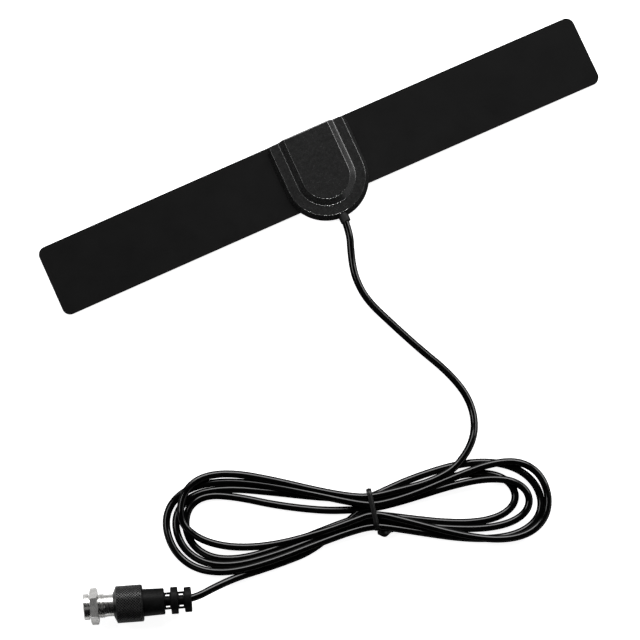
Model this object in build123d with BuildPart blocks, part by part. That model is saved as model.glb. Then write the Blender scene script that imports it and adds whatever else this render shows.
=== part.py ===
from build123d import *
import os
from math import asin, cos, degrees, pi, radians, sin, tan

os.makedirs("parts", exist_ok=True)

# Flat indoor TV antenna. X runs along the strip, +Y points to the flat edge of the housing and
# -Y to its round end, where the lead comes out. The rear cover lies on Z = 0.

# Laminated strip: two films with a pair of foil arms between them
strip_length = 250.0
strip_width = 31.5
strip_corner = 3.5
sag_margin = 1.0
film_thickness = 0.25
foil_thickness = 0.1
foil_margin = 4.0
foil_gap = 6.0
foil_corner = 1.5

# Housing: outlines are tongues, a straight-sided shape with a round end
tongue_centre = -6.2
flat_edge = 15.3
rear_plate = 1.2
rear_chamfer = 0.35
base_radius = 18.4
skirt_height = 0.6
ledge_radius = 16.9
ledge_height = 2.8
step_radius = 12.7
plate_radius = 10.2
plate_rise = 2.6
ledge_corner = 3.0
rim_fillet = 0.45
foot_fillet = 0.7
cover_wall = 1.3
cover_roof = 1.2

# Pegs that pin the covers together through the strip
peg_radius = 1.3
peg_boss_radius = 2.2
peg_depth = 0.7
peg_inset = 4.6
peg_clearance = 0.15

# Lead and its gland
cable_radius = 1.5
cable_height = 2.3
cable_clearance = 0.05
gland_radius = 2.2
gland_sleeve_radius = 1.85
gland_length = 2.9
gland_tail = 3.6
gland_round = 0.6
jacket_start = 4.1

# Matching board, its contacts and the balun
board_width = 18.0
board_depth = 13.0
board_thickness = 0.8
board_middle = -2.0
window_margin = 1.0
contact_radius = 0.8
contact_head_radius = 1.3
contact_head = 0.4
contact_spacing = 13.0
core_width = 6.0
core_depth = 4.0
core_height = 2.2
core_hole_radius = 0.55
core_hole_spacing = 3.0
wire_radius = 0.25
winding_reach = 0.8
solder_radius = 0.8
solder_height = 0.6
solder_round = 0.3
dielectric_radius = 0.8
dielectric_gap = 0.45
braid_radius = 0.3
braid_offset = 4.0
conductor_reach = 2.2

# Plug: lengths along its axis, from the nose
plug_nose = (-167.4, -132.7)
plug_heading = -19.9
nut_collar_radius = 5.45
nut_collar_length = 2.2
nut_groove_radius = 4.95
nut_groove_length = 0.6
hex_across_flats = 13.4
hex_length = 3.4
hex_chamfer = 0.45
hex_facet_tilt = 10.0
nut_bore_radius = 4.4
nut_lip = 1.2
nut_play = 0.1
nut_running_gap = 0.06
thread_radius = 5.05
thread_length = 3.0
shank_radius = 4.6
shank_length = 3.2
shank_hidden = 7.5
post_radius = 3.2
post_bore_radius = 2.1
flange_radius = 4.1
flange_thickness = 0.8
pin_radius = 0.5
pin_recess = 0.8
pin_shank_radius = 0.8
grip_radius = 7.75
grip_length = 12.3
grip_nose_length = 1.3
grip_nose_radius = 4.95
grip_rear_chamfer = 0.5
boot_front_radius = 5.75
boot_rear_radius = 5.5
boot_length = 8.9
neck_radius = 3.6
neck_length = 2.7
relief_front_radius = 5.65
relief_rear_radius = 5.25
relief_length = 2.95
relief_round = 0.4
window_core_radius = 2.1
window_width = 5.7
window_length = 1.8
cable_grip = 5.0
tail_straight = 3.0
run_share = 0.45

# Hank: two lobes cinched in the middle, in a frame with its first axis along the hank
hank_middle = (-41.0, -144.3)
hank_heading = -18.3
hank_height = 6.0
hank_waist = 7.8
hank_left_reach = 87.5
hank_left_swell = 33.0
hank_right_reach = 75.6
hank_right_swell = 28.0
hank_power = 1.2
hank_clearance = 0.3
hank_round = 1.6
left_eye_start = 16.5
left_end_width = 11.0
left_eye_half = 8.4
right_eye_start = 10.0
right_end_width = 17.6
right_eye_half = 7.4
eye_skew = 0.25
outline_points = 24
tie_width = 2.0
tie_thickness = 0.9
tie_clearance = 0.3
knot_length = 5.5
knot_radius = 1.7
knot_sink = 0.2
knot_round = 0.8

# Places that follow from the sizes above
laminate = 2 * film_thickness + foil_thickness
foil_level = rear_plate + film_thickness
strip_top = rear_plate + laminate
ledge_level = strip_top + ledge_height
plate_level = ledge_level + plate_rise
skirt_level = strip_top + skirt_height
wall_end = tongue_centre - base_radius
sag_start = base_radius + sag_margin
sag_run = strip_length / 2 - sag_start
sag_radius = (sag_run**2 + rear_plate**2) / (2 * rear_plate)
peg_x = base_radius - peg_inset
peg_places = [(side * peg_x, y) for side in (-1, 1) for y in (flat_edge - peg_inset, tongue_centre)]
board_top = strip_top + board_thickness
jacket_end = wall_end + jacket_start


# Strip


def strip_layer(low, high):
    """One layer of the strip, flat in the housing and sagging to the table at both ends."""
    overrun = degrees(asin((sag_run + strip_corner) / sag_radius))
    bend = (sag_start, rear_plate - sag_radius)
    with BuildSketch(Plane.XZ) as section:
        with BuildLine():
            under = CenterArc(bend, sag_radius + low, 90, -overrun)
            over = CenterArc(bend, sag_radius + high, 90, -overrun)
            Line(under @ 1, over @ 1)
            Line((0, rear_plate + low), under @ 0)
            Line((0, rear_plate + high), over @ 0)
            mirror(about=Plane.YZ)
        make_face()
    return extrude(section.sketch, amount=strip_width, both=True, mode=Mode.PRIVATE)


def strip_outline():
    """Plan of the whole strip, with the holes that the pegs pass through."""
    with BuildSketch(Plane.XY.offset(-laminate)) as outline:
        RectangleRounded(strip_length, strip_width, strip_corner)
        with Locations(*peg_places):
            Circle(peg_radius + peg_clearance, mode=Mode.SUBTRACT)
    return extrude(outline.sketch, amount=strip_top + 2 * laminate, mode=Mode.PRIVATE)


def foil_outline(side):
    """Plan of one foil arm, from the gap in the middle to the margin at the strip's end."""
    reach = strip_length / 2 - foil_margin - foil_gap / 2
    middle = side * (foil_gap / 2 + reach / 2)
    with BuildSketch(Plane.XY.offset(-laminate)) as outline:
        with Locations((middle, 0)):
            RectangleRounded(reach, strip_width - 2 * foil_margin, foil_corner)
        with Locations(*peg_places):
            Circle(peg_radius + peg_clearance, mode=Mode.SUBTRACT)
    return extrude(outline.sketch, amount=strip_top + 2 * laminate, mode=Mode.PRIVATE)


with BuildPart() as back_film:
    add(strip_layer(0, film_thickness))
    add(strip_outline(), mode=Mode.INTERSECT)
back_film.part.label = "back_film"
export_step(back_film.part, "parts/back_film.step")

with BuildPart() as left_foil:
    add(strip_layer(film_thickness, film_thickness + foil_thickness))
    add(foil_outline(-1), mode=Mode.INTERSECT)
left_foil.part.label = "left_foil"
export_step(left_foil.part, "parts/left_foil.step")

with BuildPart() as right_foil:
    add(strip_layer(film_thickness, film_thickness + foil_thickness))
    add(foil_outline(1), mode=Mode.INTERSECT)
right_foil.part.label = "right_foil"
export_step(right_foil.part, "parts/right_foil.step")

# The front film covers the foils and has a window through which the board reaches them
with BuildPart() as front_film:
    add(strip_layer(film_thickness, laminate))
    add(strip_outline(), mode=Mode.INTERSECT)
    add(left_foil.part, mode=Mode.SUBTRACT)
    add(right_foil.part, mode=Mode.SUBTRACT)
    with BuildSketch(Plane.XY.offset(foil_level)):
        with Locations((0, board_middle)):
            Rectangle(board_width - 2 * window_margin, board_depth - 2 * window_margin)
    extrude(amount=foil_thickness + film_thickness, mode=Mode.SUBTRACT)
front_film.part.label = "front_film"
export_step(front_film.part, "parts/front_film.step")


# Housing


def tongue(level, radius, edge=flat_edge, corner=0.0):
    """Outline of the housing at one level: straight sides, a round end and a flat edge."""
    with BuildSketch(Plane.XY.offset(level)) as outline:
        with BuildLine():
            Line((-radius, tongue_centre), (-radius, edge))
            Line((-radius, edge), (radius, edge))
            Line((radius, edge), (radius, tongue_centre))
            CenterArc((0, tongue_centre), radius, 180, 180)
        make_face()
        if corner > 0:
            fillet(outline.vertices().group_by(Axis.Y)[-1], corner)
    return outline.sketch


def cable_passage(radius):
    """The round passage that the lead takes through the round end of the housing."""
    with BuildSketch(Plane.XZ.offset(-jacket_end)) as mouth:
        with Locations((0, cable_height)):
            Circle(radius)
    return extrude(mouth.sketch, amount=jacket_start + gland_length, mode=Mode.PRIVATE)


inner_edge = flat_edge - cover_wall
trim_edge = flat_edge + ledge_corner
tier_split = (step_radius + ledge_radius) / 2

with BuildPart() as front_cover:
    # Both tiers run past the flat edge, where the plan of the base then trims them
    extrude(tongue(strip_top, base_radius, trim_edge), amount=skirt_height)
    loft([tongue(skirt_level, base_radius, trim_edge), tongue(ledge_level, ledge_radius, trim_edge)])
    loft([tongue(ledge_level, step_radius, trim_edge), tongue(plate_level, plate_radius, trim_edge)])
    ledge_edges = front_cover.edges().filter_by_position(Axis.Z, ledge_level, ledge_level)
    long_edges = ledge_edges.filter_by(Axis.X, reverse=True)
    foot_edges = long_edges.filter_by(lambda e: abs((e @ 0).X) < tier_split)
    ledge_rim = long_edges.filter_by(lambda e: abs((e @ 0).X) > tier_split)
    fillet(foot_edges, foot_fillet)
    fillet(ledge_rim, rim_fillet)
    with BuildSketch(Plane.XY.offset(strip_top)):
        add(tongue(0, base_radius, flat_edge, ledge_corner))
    extrude(amount=plate_level, mode=Mode.INTERSECT)
    fillet(front_cover.faces().sort_by(Axis.Z)[-1].edges(), rim_fillet)
    # Hollow under both tiers
    loft(
        [
            tongue(strip_top, base_radius - cover_wall, inner_edge),
            tongue(ledge_level - cover_roof, ledge_radius - cover_wall, inner_edge),
        ],
        mode=Mode.SUBTRACT,
    )
    loft(
        [
            tongue(ledge_level - cover_roof, step_radius - cover_wall, inner_edge),
            tongue(plate_level - cover_roof, plate_radius - cover_wall, inner_edge),
        ],
        mode=Mode.SUBTRACT,
    )
    # Bosses that stand on the strip, with the pegs that go through it
    with BuildSketch(Plane.XY.offset(strip_top)):
        with Locations(*peg_places):
            Circle(peg_boss_radius)
    extrude(amount=ledge_height - cover_roof / 2)
    with BuildSketch(Plane.XY.offset(rear_plate - peg_depth)):
        with Locations(*peg_places):
            Circle(peg_radius)
    extrude(amount=peg_depth + laminate)
    add(cable_passage(gland_sleeve_radius), mode=Mode.SUBTRACT)
front_cover.part.label = "front_cover"
export_step(front_cover.part, "parts/front_cover.step")

# The rear cover has a raised land past the strip's edge, where the two covers meet
with BuildPart() as rear_cover:
    extrude(tongue(0, base_radius, flat_edge, ledge_corner), amount=rear_plate)
    chamfer(rear_cover.faces().sort_by(Axis.Z)[0].edges(), rear_chamfer)
    with BuildSketch(Plane.XY.offset(rear_plate)):
        add(tongue(0, base_radius))
        add(tongue(0, base_radius - cover_wall), mode=Mode.SUBTRACT)
        with Locations((0, strip_width / 2)):
            Rectangle(4 * base_radius, 2 * strip_width + 2 * peg_clearance, mode=Mode.SUBTRACT)
    extrude(amount=laminate)
    with BuildSketch(Plane.XY.offset(rear_plate - peg_depth)):
        with Locations(*peg_places):
            Circle(peg_radius + peg_clearance / 2)
    extrude(amount=peg_depth, mode=Mode.SUBTRACT)
    add(cable_passage(gland_sleeve_radius), mode=Mode.SUBTRACT)
rear_cover.part.label = "rear_cover"
export_step(rear_cover.part, "parts/rear_cover.step")

# Gland: a sleeve in the wall with a collar outside it
gland_end = wall_end - gland_length
gland_axis = Axis((0, 0, cable_height), (0, -1, 0))
gland_bore = cable_radius + cable_clearance
with BuildPart() as cable_gland:
    with BuildSketch(Plane.YZ):
        with BuildLine():
            Polyline(
                (wall_end + gland_tail, cable_height + gland_bore),
                (wall_end + gland_tail, cable_height + gland_sleeve_radius),
                (wall_end, cable_height + gland_sleeve_radius),
                (wall_end, cable_height + gland_radius),
                (gland_end, cable_height + gland_radius),
                (gland_end, cable_height + gland_bore),
                close=True,
            )
        make_face()
    revolve(axis=gland_axis)
    outer_rim = cable_gland.edges().filter_by(GeomType.CIRCLE).group_by(Axis.Y)[0].sort_by(SortBy.RADIUS)[-1]
    fillet(outer_rim, gland_round)
cable_gland.part.label = "cable_gland"
export_step(cable_gland.part, "parts/cable_gland.step")

# Matching board


def wire(points, radius, bend):
    """A round wire along straight runs with rounded corners."""
    with BuildPart() as strand:
        with BuildLine() as route:
            FilletPolyline(*points, radius=bend)
        with BuildSketch(Plane(origin=route.line @ 0, z_dir=route.line % 0)):
            Circle(radius)
        sweep()
    return strand.part


board_edge = board_middle - board_depth / 2
contact_places = [(side * contact_spacing / 2, board_middle) for side in (-1, 1)]
core_axis_level = board_top + core_height / 2
core_hole_places = [(side * core_hole_spacing / 2, core_axis_level) for side in (-1, 1)]
dielectric_end = -strip_width / 2 - dielectric_gap
landing = board_edge + conductor_reach

with BuildPart() as matching_board:
    with BuildSketch(Plane.XY.offset(strip_top)):
        with Locations((0, board_middle)):
            Rectangle(board_width, board_depth)
        with Locations(*contact_places):
            Circle(contact_radius, mode=Mode.SUBTRACT)
    extrude(amount=board_thickness)
matching_board.part.label = "matching_board"
export_step(matching_board.part, "parts/matching_board.step")

# Rivets from the foils up through the board
for rivet_name, rivet_place in zip(("left_contact", "right_contact"), contact_places):
    with BuildPart() as rivet:
        with BuildSketch(Plane.XY.offset(foil_level + foil_thickness)):
            with Locations(rivet_place):
                Circle(contact_radius)
        extrude(amount=film_thickness + board_thickness)
        with BuildSketch(Plane.XY.offset(board_top)):
            with Locations(rivet_place):
                Circle(contact_head_radius)
        extrude(amount=contact_head)
        fillet(rivet.faces().sort_by(Axis.Z)[-1].edges(), contact_head / 2)
    rivet.part.label = rivet_name
    export_step(rivet.part, f"parts/{rivet_name}.step")

# Two-hole ferrite core with a copper turn through both holes
with BuildPart() as balun_core:
    with BuildSketch(Plane.XY.offset(board_top)):
        with Locations((0, board_middle)):
            Rectangle(core_width, core_depth)
    extrude(amount=core_height)
    fillet(balun_core.edges().filter_by(Axis.Y), core_height / 4)
    with BuildSketch(Plane.XZ.offset(-board_middle)):
        with Locations(*core_hole_places):
            Circle(core_hole_radius)
    extrude(amount=core_depth, both=True, mode=Mode.SUBTRACT)
balun_core.part.label = "balun_core"
export_step(balun_core.part, "parts/balun_core.step")

winding_y = core_depth / 2 + winding_reach
with BuildPart() as balun_winding:
    with BuildLine(Plane.XY.offset(core_axis_level)) as turn:
        FilletPolyline(
            (core_hole_spacing / 2, board_middle + winding_y),
            (-core_hole_spacing / 2, board_middle + winding_y),
            (-core_hole_spacing / 2, board_middle - winding_y),
            (core_hole_spacing / 2, board_middle - winding_y),
            radius=winding_reach - wire_radius,
            close=True,
        )
    with BuildSketch(Plane(origin=turn.line @ 0, z_dir=turn.line % 0)):
        Circle(wire_radius)
    sweep()
balun_winding.part.label = "balun_winding"
export_step(balun_winding.part, "parts/balun_winding.step")

# Stripped end of the lead
with BuildPart() as coax_dielectric:
    with BuildSketch(Plane.XZ.offset(-dielectric_end)):
        with Locations((0, cable_height)):
            Circle(dielectric_radius)
    extrude(amount=dielectric_end - jacket_end)
coax_dielectric.part.label = "coax_dielectric"
export_step(coax_dielectric.part, "parts/coax_dielectric.step")

conductor_level = board_top + wire_radius
with BuildPart() as coax_conductor:
    add(
        wire(
            [
                (0, dielectric_end, cable_height),
                (0, dielectric_end + conductor_reach, cable_height),
                (0, board_edge - conductor_reach, conductor_level),
                (0, landing, conductor_level),
            ],
            wire_radius,
            conductor_reach / 2,
        )
    )
coax_conductor.part.label = "coax_conductor"
export_step(coax_conductor.part, "parts/coax_conductor.step")

braid_start = -(dielectric_radius + braid_radius + cable_clearance)
braid_level = board_top + braid_radius
with BuildPart() as coax_braid:
    add(
        wire(
            [
                (braid_start, jacket_end, cable_height),
                (braid_start, jacket_end + conductor_reach, cable_height),
                (-braid_offset, board_edge - conductor_reach, braid_level),
                (-braid_offset, landing, braid_level),
            ],
            braid_radius,
            conductor_reach / 2,
        )
    )
coax_braid.part.label = "coax_braid"
export_step(coax_braid.part, "parts/coax_braid.step")

with BuildPart() as solder_joints:
    with BuildSketch(Plane.XY.offset(board_top)):
        with Locations((0, landing), (-braid_offset, landing)):
            Circle(solder_radius)
    extrude(amount=solder_height)
    fillet(solder_joints.faces().filter_by(Axis.Z).group_by(Axis.Z)[-1].edges(), solder_round)
    add(coax_conductor.part, mode=Mode.SUBTRACT)
    add(coax_braid.part, mode=Mode.SUBTRACT)
solder_joints.part.label = "solder_joints"
export_step(solder_joints.part, "parts/solder_joints.step")

# Plug, lying on its grip ring; profiles are drawn as (distance from the nose, radius)
plug_direction = Vector(cos(radians(plug_heading)), sin(radians(plug_heading)), 0)
plug_up = Vector(0, 0, 1)
plug_origin = Vector(plug_nose[0], plug_nose[1], grip_radius)
plug_plane = Plane(origin=plug_origin, x_dir=plug_direction, z_dir=plug_direction.cross(plug_up))
plug_axis = Axis(plug_origin, plug_direction)

hex_start = nut_collar_length + nut_groove_length
nut_end = hex_start + hex_length
barrel_start = nut_end + nut_play
thread_end = barrel_start + thread_length
grip_start = thread_end + shank_length
barrel_end = grip_start + shank_hidden
grip_end = grip_start + grip_length
boot_end = grip_end + boot_length
front_relief_start = boot_end + neck_length
front_relief_end = front_relief_start + relief_length
rear_relief_start = front_relief_end + neck_length
plug_end = rear_relief_start + relief_length
flange_rear = nut_end - nut_lip - nut_play
flange_front = flange_rear - flange_thickness
hex_radius = hex_across_flats / 2
hex_corner_radius = hex_radius / cos(pi / 6)


def plug_section(distance):
    """Plane across the plug at one distance from its nose, with its first axis pointing up."""
    return Plane(origin=plug_origin + plug_direction * distance, x_dir=plug_up, z_dir=plug_direction)


def turned(*profile):
    """A turned piece of the plug from the outline of its half section."""
    with BuildSketch(plug_plane) as half:
        with BuildLine():
            Polyline(*profile, close=True)
        make_face()
    return revolve(half.sketch, axis=plug_axis, mode=Mode.PRIVATE)


with BuildPart() as coupling_nut:
    with BuildSketch(plug_section(hex_start)):
        RegularPolygon(hex_radius, 6, major_radius=False, rotation=hex_facet_tilt + 30)
    extrude(amount=hex_length)
    add(
        turned(
            (hex_start, 0),
            (hex_start, hex_radius),
            (hex_start + hex_chamfer, hex_corner_radius),
            (nut_end - hex_chamfer, hex_corner_radius),
            (nut_end, hex_radius),
            (nut_end, 0),
        ),
        mode=Mode.INTERSECT,
    )
    add(
        turned(
            (0, 0),
            (0, nut_collar_radius - nut_groove_length / 2),
            (nut_groove_length / 2, nut_collar_radius),
            (nut_collar_length, nut_collar_radius),
            (nut_collar_length, nut_groove_radius),
            (hex_start, nut_groove_radius),
            (hex_start, 0),
        )
    )
    add(
        turned(
            (0, 0),
            (0, nut_bore_radius + nut_groove_length / 2),
            (nut_groove_length / 2, nut_bore_radius),
            (nut_end - nut_lip, nut_bore_radius),
            (nut_end - nut_lip, post_radius + nut_running_gap),
            (nut_end, post_radius + nut_running_gap),
            (nut_end, 0),
        ),
        mode=Mode.SUBTRACT,
    )
coupling_nut.part.label = "coupling_nut"
export_step(coupling_nut.part, "parts/coupling_nut.step")

with BuildPart() as plug_post:
    add(
        turned(
            (flange_front, post_bore_radius),
            (flange_front, flange_radius),
            (flange_rear, flange_radius),
            (flange_rear, post_radius),
            (barrel_end, post_radius),
            (barrel_end, post_bore_radius),
        )
    )
plug_post.part.label = "plug_post"
export_step(plug_post.part, "parts/plug_post.step")

thread_chamfer = thread_radius - shank_radius
with BuildPart() as plug_barrel:
    add(
        turned(
            (barrel_start, post_radius),
            (barrel_start, shank_radius),
            (barrel_start + thread_chamfer, thread_radius),
            (thread_end, thread_radius),
            (thread_end, shank_radius),
            (barrel_end, shank_radius),
            (barrel_end, post_radius),
        )
    )
plug_barrel.part.label = "plug_barrel"
export_step(plug_barrel.part, "parts/plug_barrel.step")

with BuildPart() as pin_insulator:
    add(
        turned(
            (flange_front, pin_shank_radius),
            (flange_front, post_bore_radius),
            (barrel_end, post_bore_radius),
            (barrel_end, pin_shank_radius),
        )
    )
pin_insulator.part.label = "pin_insulator"
export_step(pin_insulator.part, "parts/pin_insulator.step")

with BuildPart() as centre_pin:
    add(
        turned(
            (pin_recess, 0),
            (pin_recess, pin_radius / 2),
            (pin_recess + pin_radius, pin_radius),
            (flange_front, pin_radius),
            (flange_front, pin_shank_radius),
            (barrel_end, pin_shank_radius),
            (barrel_end, 0),
        )
    )
centre_pin.part.label = "centre_pin"
export_step(centre_pin.part, "parts/centre_pin.step")

with BuildPart() as grip_ring:
    add(
        turned(
            (grip_start, shank_radius),
            (grip_start, grip_nose_radius),
            (grip_start + grip_nose_length, grip_radius),
            (grip_end - grip_rear_chamfer, grip_radius),
            (grip_end, grip_radius - grip_rear_chamfer),
            (grip_end, shank_radius),
        )
    )
grip_ring.part.label = "grip_ring"
export_step(grip_ring.part, "parts/grip_ring.step")

# Boot with a spigot in the grip ring and a strain relief of two collars on windowed necks
boot_bore = cable_radius + cable_clearance
with BuildPart() as plug_boot:
    add(
        turned(
            (barrel_end, 0),
            (barrel_end, shank_radius),
            (grip_end, shank_radius),
            (grip_end, boot_front_radius),
            (boot_end, boot_rear_radius),
            (boot_end, neck_radius),
            (front_relief_start, neck_radius),
            (front_relief_start, relief_front_radius),
            (front_relief_end, relief_front_radius),
            (front_relief_end, neck_radius),
            (rear_relief_start, neck_radius),
            (rear_relief_start, relief_rear_radius),
            (plug_end, relief_rear_radius),
            (plug_end, boot_bore),
            (plug_end - cable_grip, boot_bore),
            (plug_end - cable_grip, 0),
        )
    )
    rims = plug_boot.edges().filter_by(GeomType.CIRCLE)
    rims = rims.filter_by(lambda e: shank_radius + relief_round < e.radius < boot_front_radius)
    fillet(rims, relief_round)
    for neck_start in (boot_end, front_relief_end):
        window_start = neck_start + (neck_length - window_length) / 2
        with BuildSketch(plug_section(window_start)):
            Rectangle(4 * neck_radius, window_width)
            Circle(window_core_radius, mode=Mode.SUBTRACT)
        extrude(amount=window_length, mode=Mode.SUBTRACT)
plug_boot.part.label = "plug_boot"
export_step(plug_boot.part, "parts/plug_boot.step")

# Lead: routes are lists of hand-chosen points, rounded as widely as their runs allow
lead_points = [
    Vector(0, jacket_end, cable_height),
    Vector(0, -31.0, cable_height),
    Vector(-3.9, -41.0, 1.6),
    Vector(-6.4, -50.5, 1.5),
    Vector(-5.8, -61.5, 1.5),
    Vector(-0.8, -74.0, 1.5),
    Vector(5.7, -89.3, 1.5),
    Vector(12.9, -104.0, 1.5),
    Vector(16.2, -117.0, 1.5),
    Vector(14.4, -128.0, 1.8),
    Vector(9.0, -136.0, 3.4),
    Vector(1.5, -141.5, 4.3),
]
tail_points = [
    Vector(-72.0, -149.4, 1.6),
    Vector(-82.5, -149.0, 1.6),
    Vector(-93.5, -148.0, 1.7),
    Vector(-104.0, -146.9, 3.0),
    Vector(-113.0, -147.2, 5.9),
    plug_origin + plug_direction * (plug_end + tail_straight),
    plug_origin + plug_direction * (plug_end - cable_grip),
]


def corner_radii(points):
    """Radius at each inner point: a share of the shorter run, over the tangent of half the turn."""
    radii = []
    for before, corner, after in zip(points, points[1:], points[2:]):
        run_in = corner - before
        run_out = after - corner
        half_turn = radians(run_in.get_angle(run_out)) / 2
        radii.append(run_share * min(run_in.length, run_out.length) / tan(half_turn))
    return radii


def cord_tube(points, radius):
    """A plain tube along a cord's route, and the length of the route."""
    with BuildPart() as tube:
        with BuildLine() as route:
            FilletPolyline(*points, radius=corner_radii(points))
        with BuildSketch(Plane(origin=route.line @ 0, z_dir=route.line % 0)):
            Circle(radius)
        sweep()
    return tube.part, route.wire().length


lead_tube, lead_length = cord_tube(lead_points, cable_radius)
with BuildPart() as cable_lead:
    add(lead_tube)
cable_lead.part.label = "cable_lead"
export_step(cable_lead.part, "parts/cable_lead.step")

tail_tube, tail_length = cord_tube(tail_points, cable_radius)
with BuildPart() as cable_tail:
    add(tail_tube)
cable_tail.part.label = "cable_tail"
export_step(cable_tail.part, "parts/cable_tail.step")

cable_area = pi * cable_radius**2
print("lead radii", [round(radius, 1) for radius in corner_radii(lead_points)])
lead_share = lead_tube.volume / (cable_area * lead_length)
print("lead length", round(lead_length, 1), "volume share", round(lead_share, 4))
print("tail radii", [round(radius, 1) for radius in corner_radii(tail_points)])
tail_share = tail_tube.volume / (cable_area * tail_length)
print("tail length", round(tail_length, 1), "volume share", round(tail_share, 4))

# Hank: a bow-shaped pad with the two eyes that its turns leave open
hank_direction = Vector(cos(radians(hank_heading)), sin(radians(hank_heading)), 0)
hank_origin = Vector(hank_middle[0], hank_middle[1], 0)
hank_plane = Plane(origin=hank_origin, x_dir=hank_direction, z_dir=(0, 0, 1))


turns = [2 * pi * step / outline_points for step in range(outline_points)]


def bow_point(turn):
    """Point of the hank's outline at one angle: two lobes that meet in a narrow waist."""
    along = cos(turn)
    reach = hank_right_reach if along > 0 else hank_left_reach
    swell = hank_right_swell if along > 0 else hank_left_swell
    return (reach * along, sin(turn) * (hank_waist + swell * abs(along) ** hank_power))


def eye(side, start, end, half):
    """Outline of one eye: an egg from its start near the tie to its blunt end in the lobe."""
    middle = (start + end) / 2
    reach = (end - start) / 2
    return [
        (side * (middle + reach * cos(turn)), half * sin(turn) * (1 + eye_skew * cos(turn)))
        for turn in turns
    ]


with BuildPart() as cable_hank:
    with BuildSketch(hank_plane):
        with BuildLine():
            Spline(*[bow_point(turn) for turn in turns], periodic=True)
        make_face()
        with BuildLine():
            left_eye = eye(-1, left_eye_start, hank_left_reach - left_end_width, left_eye_half)
            Spline(*left_eye, periodic=True)
        make_face(mode=Mode.SUBTRACT)
        with BuildLine():
            right_eye = eye(1, right_eye_start, hank_right_reach - right_end_width, right_eye_half)
            Spline(*right_eye, periodic=True)
        make_face(mode=Mode.SUBTRACT)
    extrude(amount=hank_height)
    chamfer(cable_hank.edges().filter_by(Axis.Z, reverse=True), hank_round)
    # Groove under the tie, and channels for the two ends of the cord that leave the hank
    with BuildSketch(hank_plane):
        Rectangle(tie_width + 2 * tie_clearance, 4 * hank_waist)
    extrude(amount=tie_thickness, mode=Mode.SUBTRACT)
    for points in (lead_points, tail_points):
        channel = cord_tube(points, cable_radius + hank_clearance)[0]
        add(channel, mode=Mode.SUBTRACT)
cable_hank.part.label = "cable_hank"
export_step(cable_hank.part, "parts/cable_hank.step")

# Tie: a band round the waist, with its ends twisted into a knot
tie_inner = hank_waist + tie_clearance
tie_outer = tie_inner + tie_thickness
tie_plane = Plane(
    origin=hank_origin - hank_direction * (tie_width / 2), x_dir=hank_plane.y_dir, z_dir=hank_direction
)
with BuildPart() as cable_tie:
    with BuildSketch(tie_plane):
        with Locations((0, (hank_height + tie_thickness) / 2)):
            RectangleRounded(2 * tie_outer, hank_height + tie_thickness, hank_round)
            RectangleRounded(
                2 * tie_inner, hank_height - tie_thickness, hank_round - tie_thickness, mode=Mode.SUBTRACT
            )
    extrude(amount=tie_width)
    with BuildSketch(tie_plane):
        with Locations((knot_sink - tie_outer - knot_radius, knot_radius)):
            Circle(knot_radius)
    extrude(amount=knot_length)
    fillet(cable_tie.faces().sort_by(Axis(hank_origin, hank_direction))[-1].edges(), knot_round)
cable_tie.part.label = "cable_tie"
export_step(cable_tie.part, "parts/cable_tie.step")
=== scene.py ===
# %% [markdown]
# # Flat indoor TV antenna
#
# The antenna is a thin black strip of two films with a foil dipole between them, a small two-tier
# moulded housing in its middle, and a thin coaxial lead that is tied into a hank and ends in a
# screw-on plug. The solids are already in place when the frame is loaded. This lesson gives them
# their looks: it sets the camera, lays the lead turn by turn, dresses the plug and the tie with
# modelled detail, and paints every surface with a procedural finish.

# %% load the frame
from math import cos, pi, radians, sin

import bpy
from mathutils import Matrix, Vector


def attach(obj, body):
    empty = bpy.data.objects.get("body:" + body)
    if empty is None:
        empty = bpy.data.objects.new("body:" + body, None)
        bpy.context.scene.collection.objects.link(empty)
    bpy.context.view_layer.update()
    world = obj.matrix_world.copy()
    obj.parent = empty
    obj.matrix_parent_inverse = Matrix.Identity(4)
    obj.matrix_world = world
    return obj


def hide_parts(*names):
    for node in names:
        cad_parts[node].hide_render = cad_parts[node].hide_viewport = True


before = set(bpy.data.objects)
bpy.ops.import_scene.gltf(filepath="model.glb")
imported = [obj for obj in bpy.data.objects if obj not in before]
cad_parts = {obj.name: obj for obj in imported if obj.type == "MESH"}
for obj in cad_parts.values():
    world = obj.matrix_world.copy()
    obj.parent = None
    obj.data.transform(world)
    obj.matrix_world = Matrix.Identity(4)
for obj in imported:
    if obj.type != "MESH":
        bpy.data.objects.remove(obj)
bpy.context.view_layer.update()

MM = 0.001
print("solids in the frame:", len(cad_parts))

# %% [markdown]
# ## The camera
#
# The object lies flat and is seen from almost straight above, turned a little about the upright.
# A camera could be aimed by eye. Here it is placed by two angles and a distance round a point on
# the floor, because those are the numbers that can be measured from the way the strip's edges
# run. A long lens keeps the far edge of the strip almost as large as the near one.

# %% camera
VIEW_AZIMUTH = radians(-24.2)
VIEW_ELEVATION = radians(80.0)
VIEW_DISTANCE = 1.6948
VIEW_TARGET = Vector((-0.0273, -0.0610, 0.0))
LENS_MM = 225.0
SENSOR_MM = 36.0
CLIP_END = 10.0


def around(target, azimuth, elevation, distance):
    """A point at that bearing and height, seen from the target."""
    flat = cos(elevation)
    return target + distance * Vector((sin(azimuth) * flat, -cos(azimuth) * flat, sin(elevation)))


def aim(obj, target):
    """Turns a camera, lamp or card so that it faces the target."""
    obj.rotation_euler = (target - obj.location).to_track_quat("-Z", "Y").to_euler()


bpy.ops.object.select_all(action="DESELECT")
bpy.ops.object.camera_add(location=around(VIEW_TARGET, VIEW_AZIMUTH, VIEW_ELEVATION, VIEW_DISTANCE))
camera = bpy.context.object
camera.name = "photo_camera"
camera.data.lens = LENS_MM
camera.data.sensor_width = SENSOR_MM
camera.data.clip_end = CLIP_END
aim(camera, VIEW_TARGET)
bpy.context.scene.camera = camera
bpy.context.scene.view_settings.view_transform = "Standard"
print("camera height", round(camera.location.z, 3))

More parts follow.
